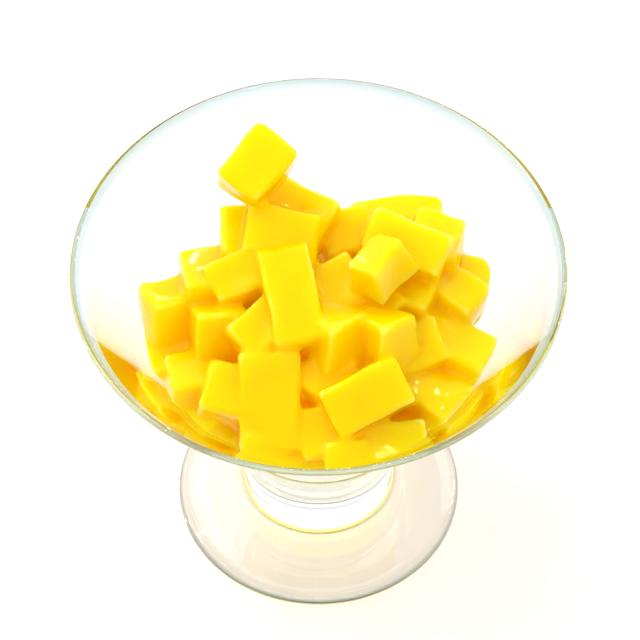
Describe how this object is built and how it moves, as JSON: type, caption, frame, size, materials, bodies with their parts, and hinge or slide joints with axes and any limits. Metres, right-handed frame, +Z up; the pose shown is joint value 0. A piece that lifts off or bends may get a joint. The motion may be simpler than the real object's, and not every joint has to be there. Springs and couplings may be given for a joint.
{
  "type": "cut jelly in a glass coupe",
  "caption": "Heap of yellow jelly cut into dice and slabs, filling a clear cone-shaped glass bowl on a short thick stem and a round foot.",
  "frame": {"origin": "on the glass's turning axis, at the level that the foot stands on", "axes": "+Z up along the turning axis; +Y away from the side shown in the picture, with the highest piece of jelly at -X +Y"},
  "size_m": [0.1192, 0.1192, 0.1121],
  "materials": {
    "glass": "clear, polished, faintly green in the thick parts",
    "jelly": "wet, glossy, slightly see-through"
  },
  "bodies": {
    "root": {"glass_coupe": "glass", "jelly_heap": "jelly"}
  },
  "joints": []
}
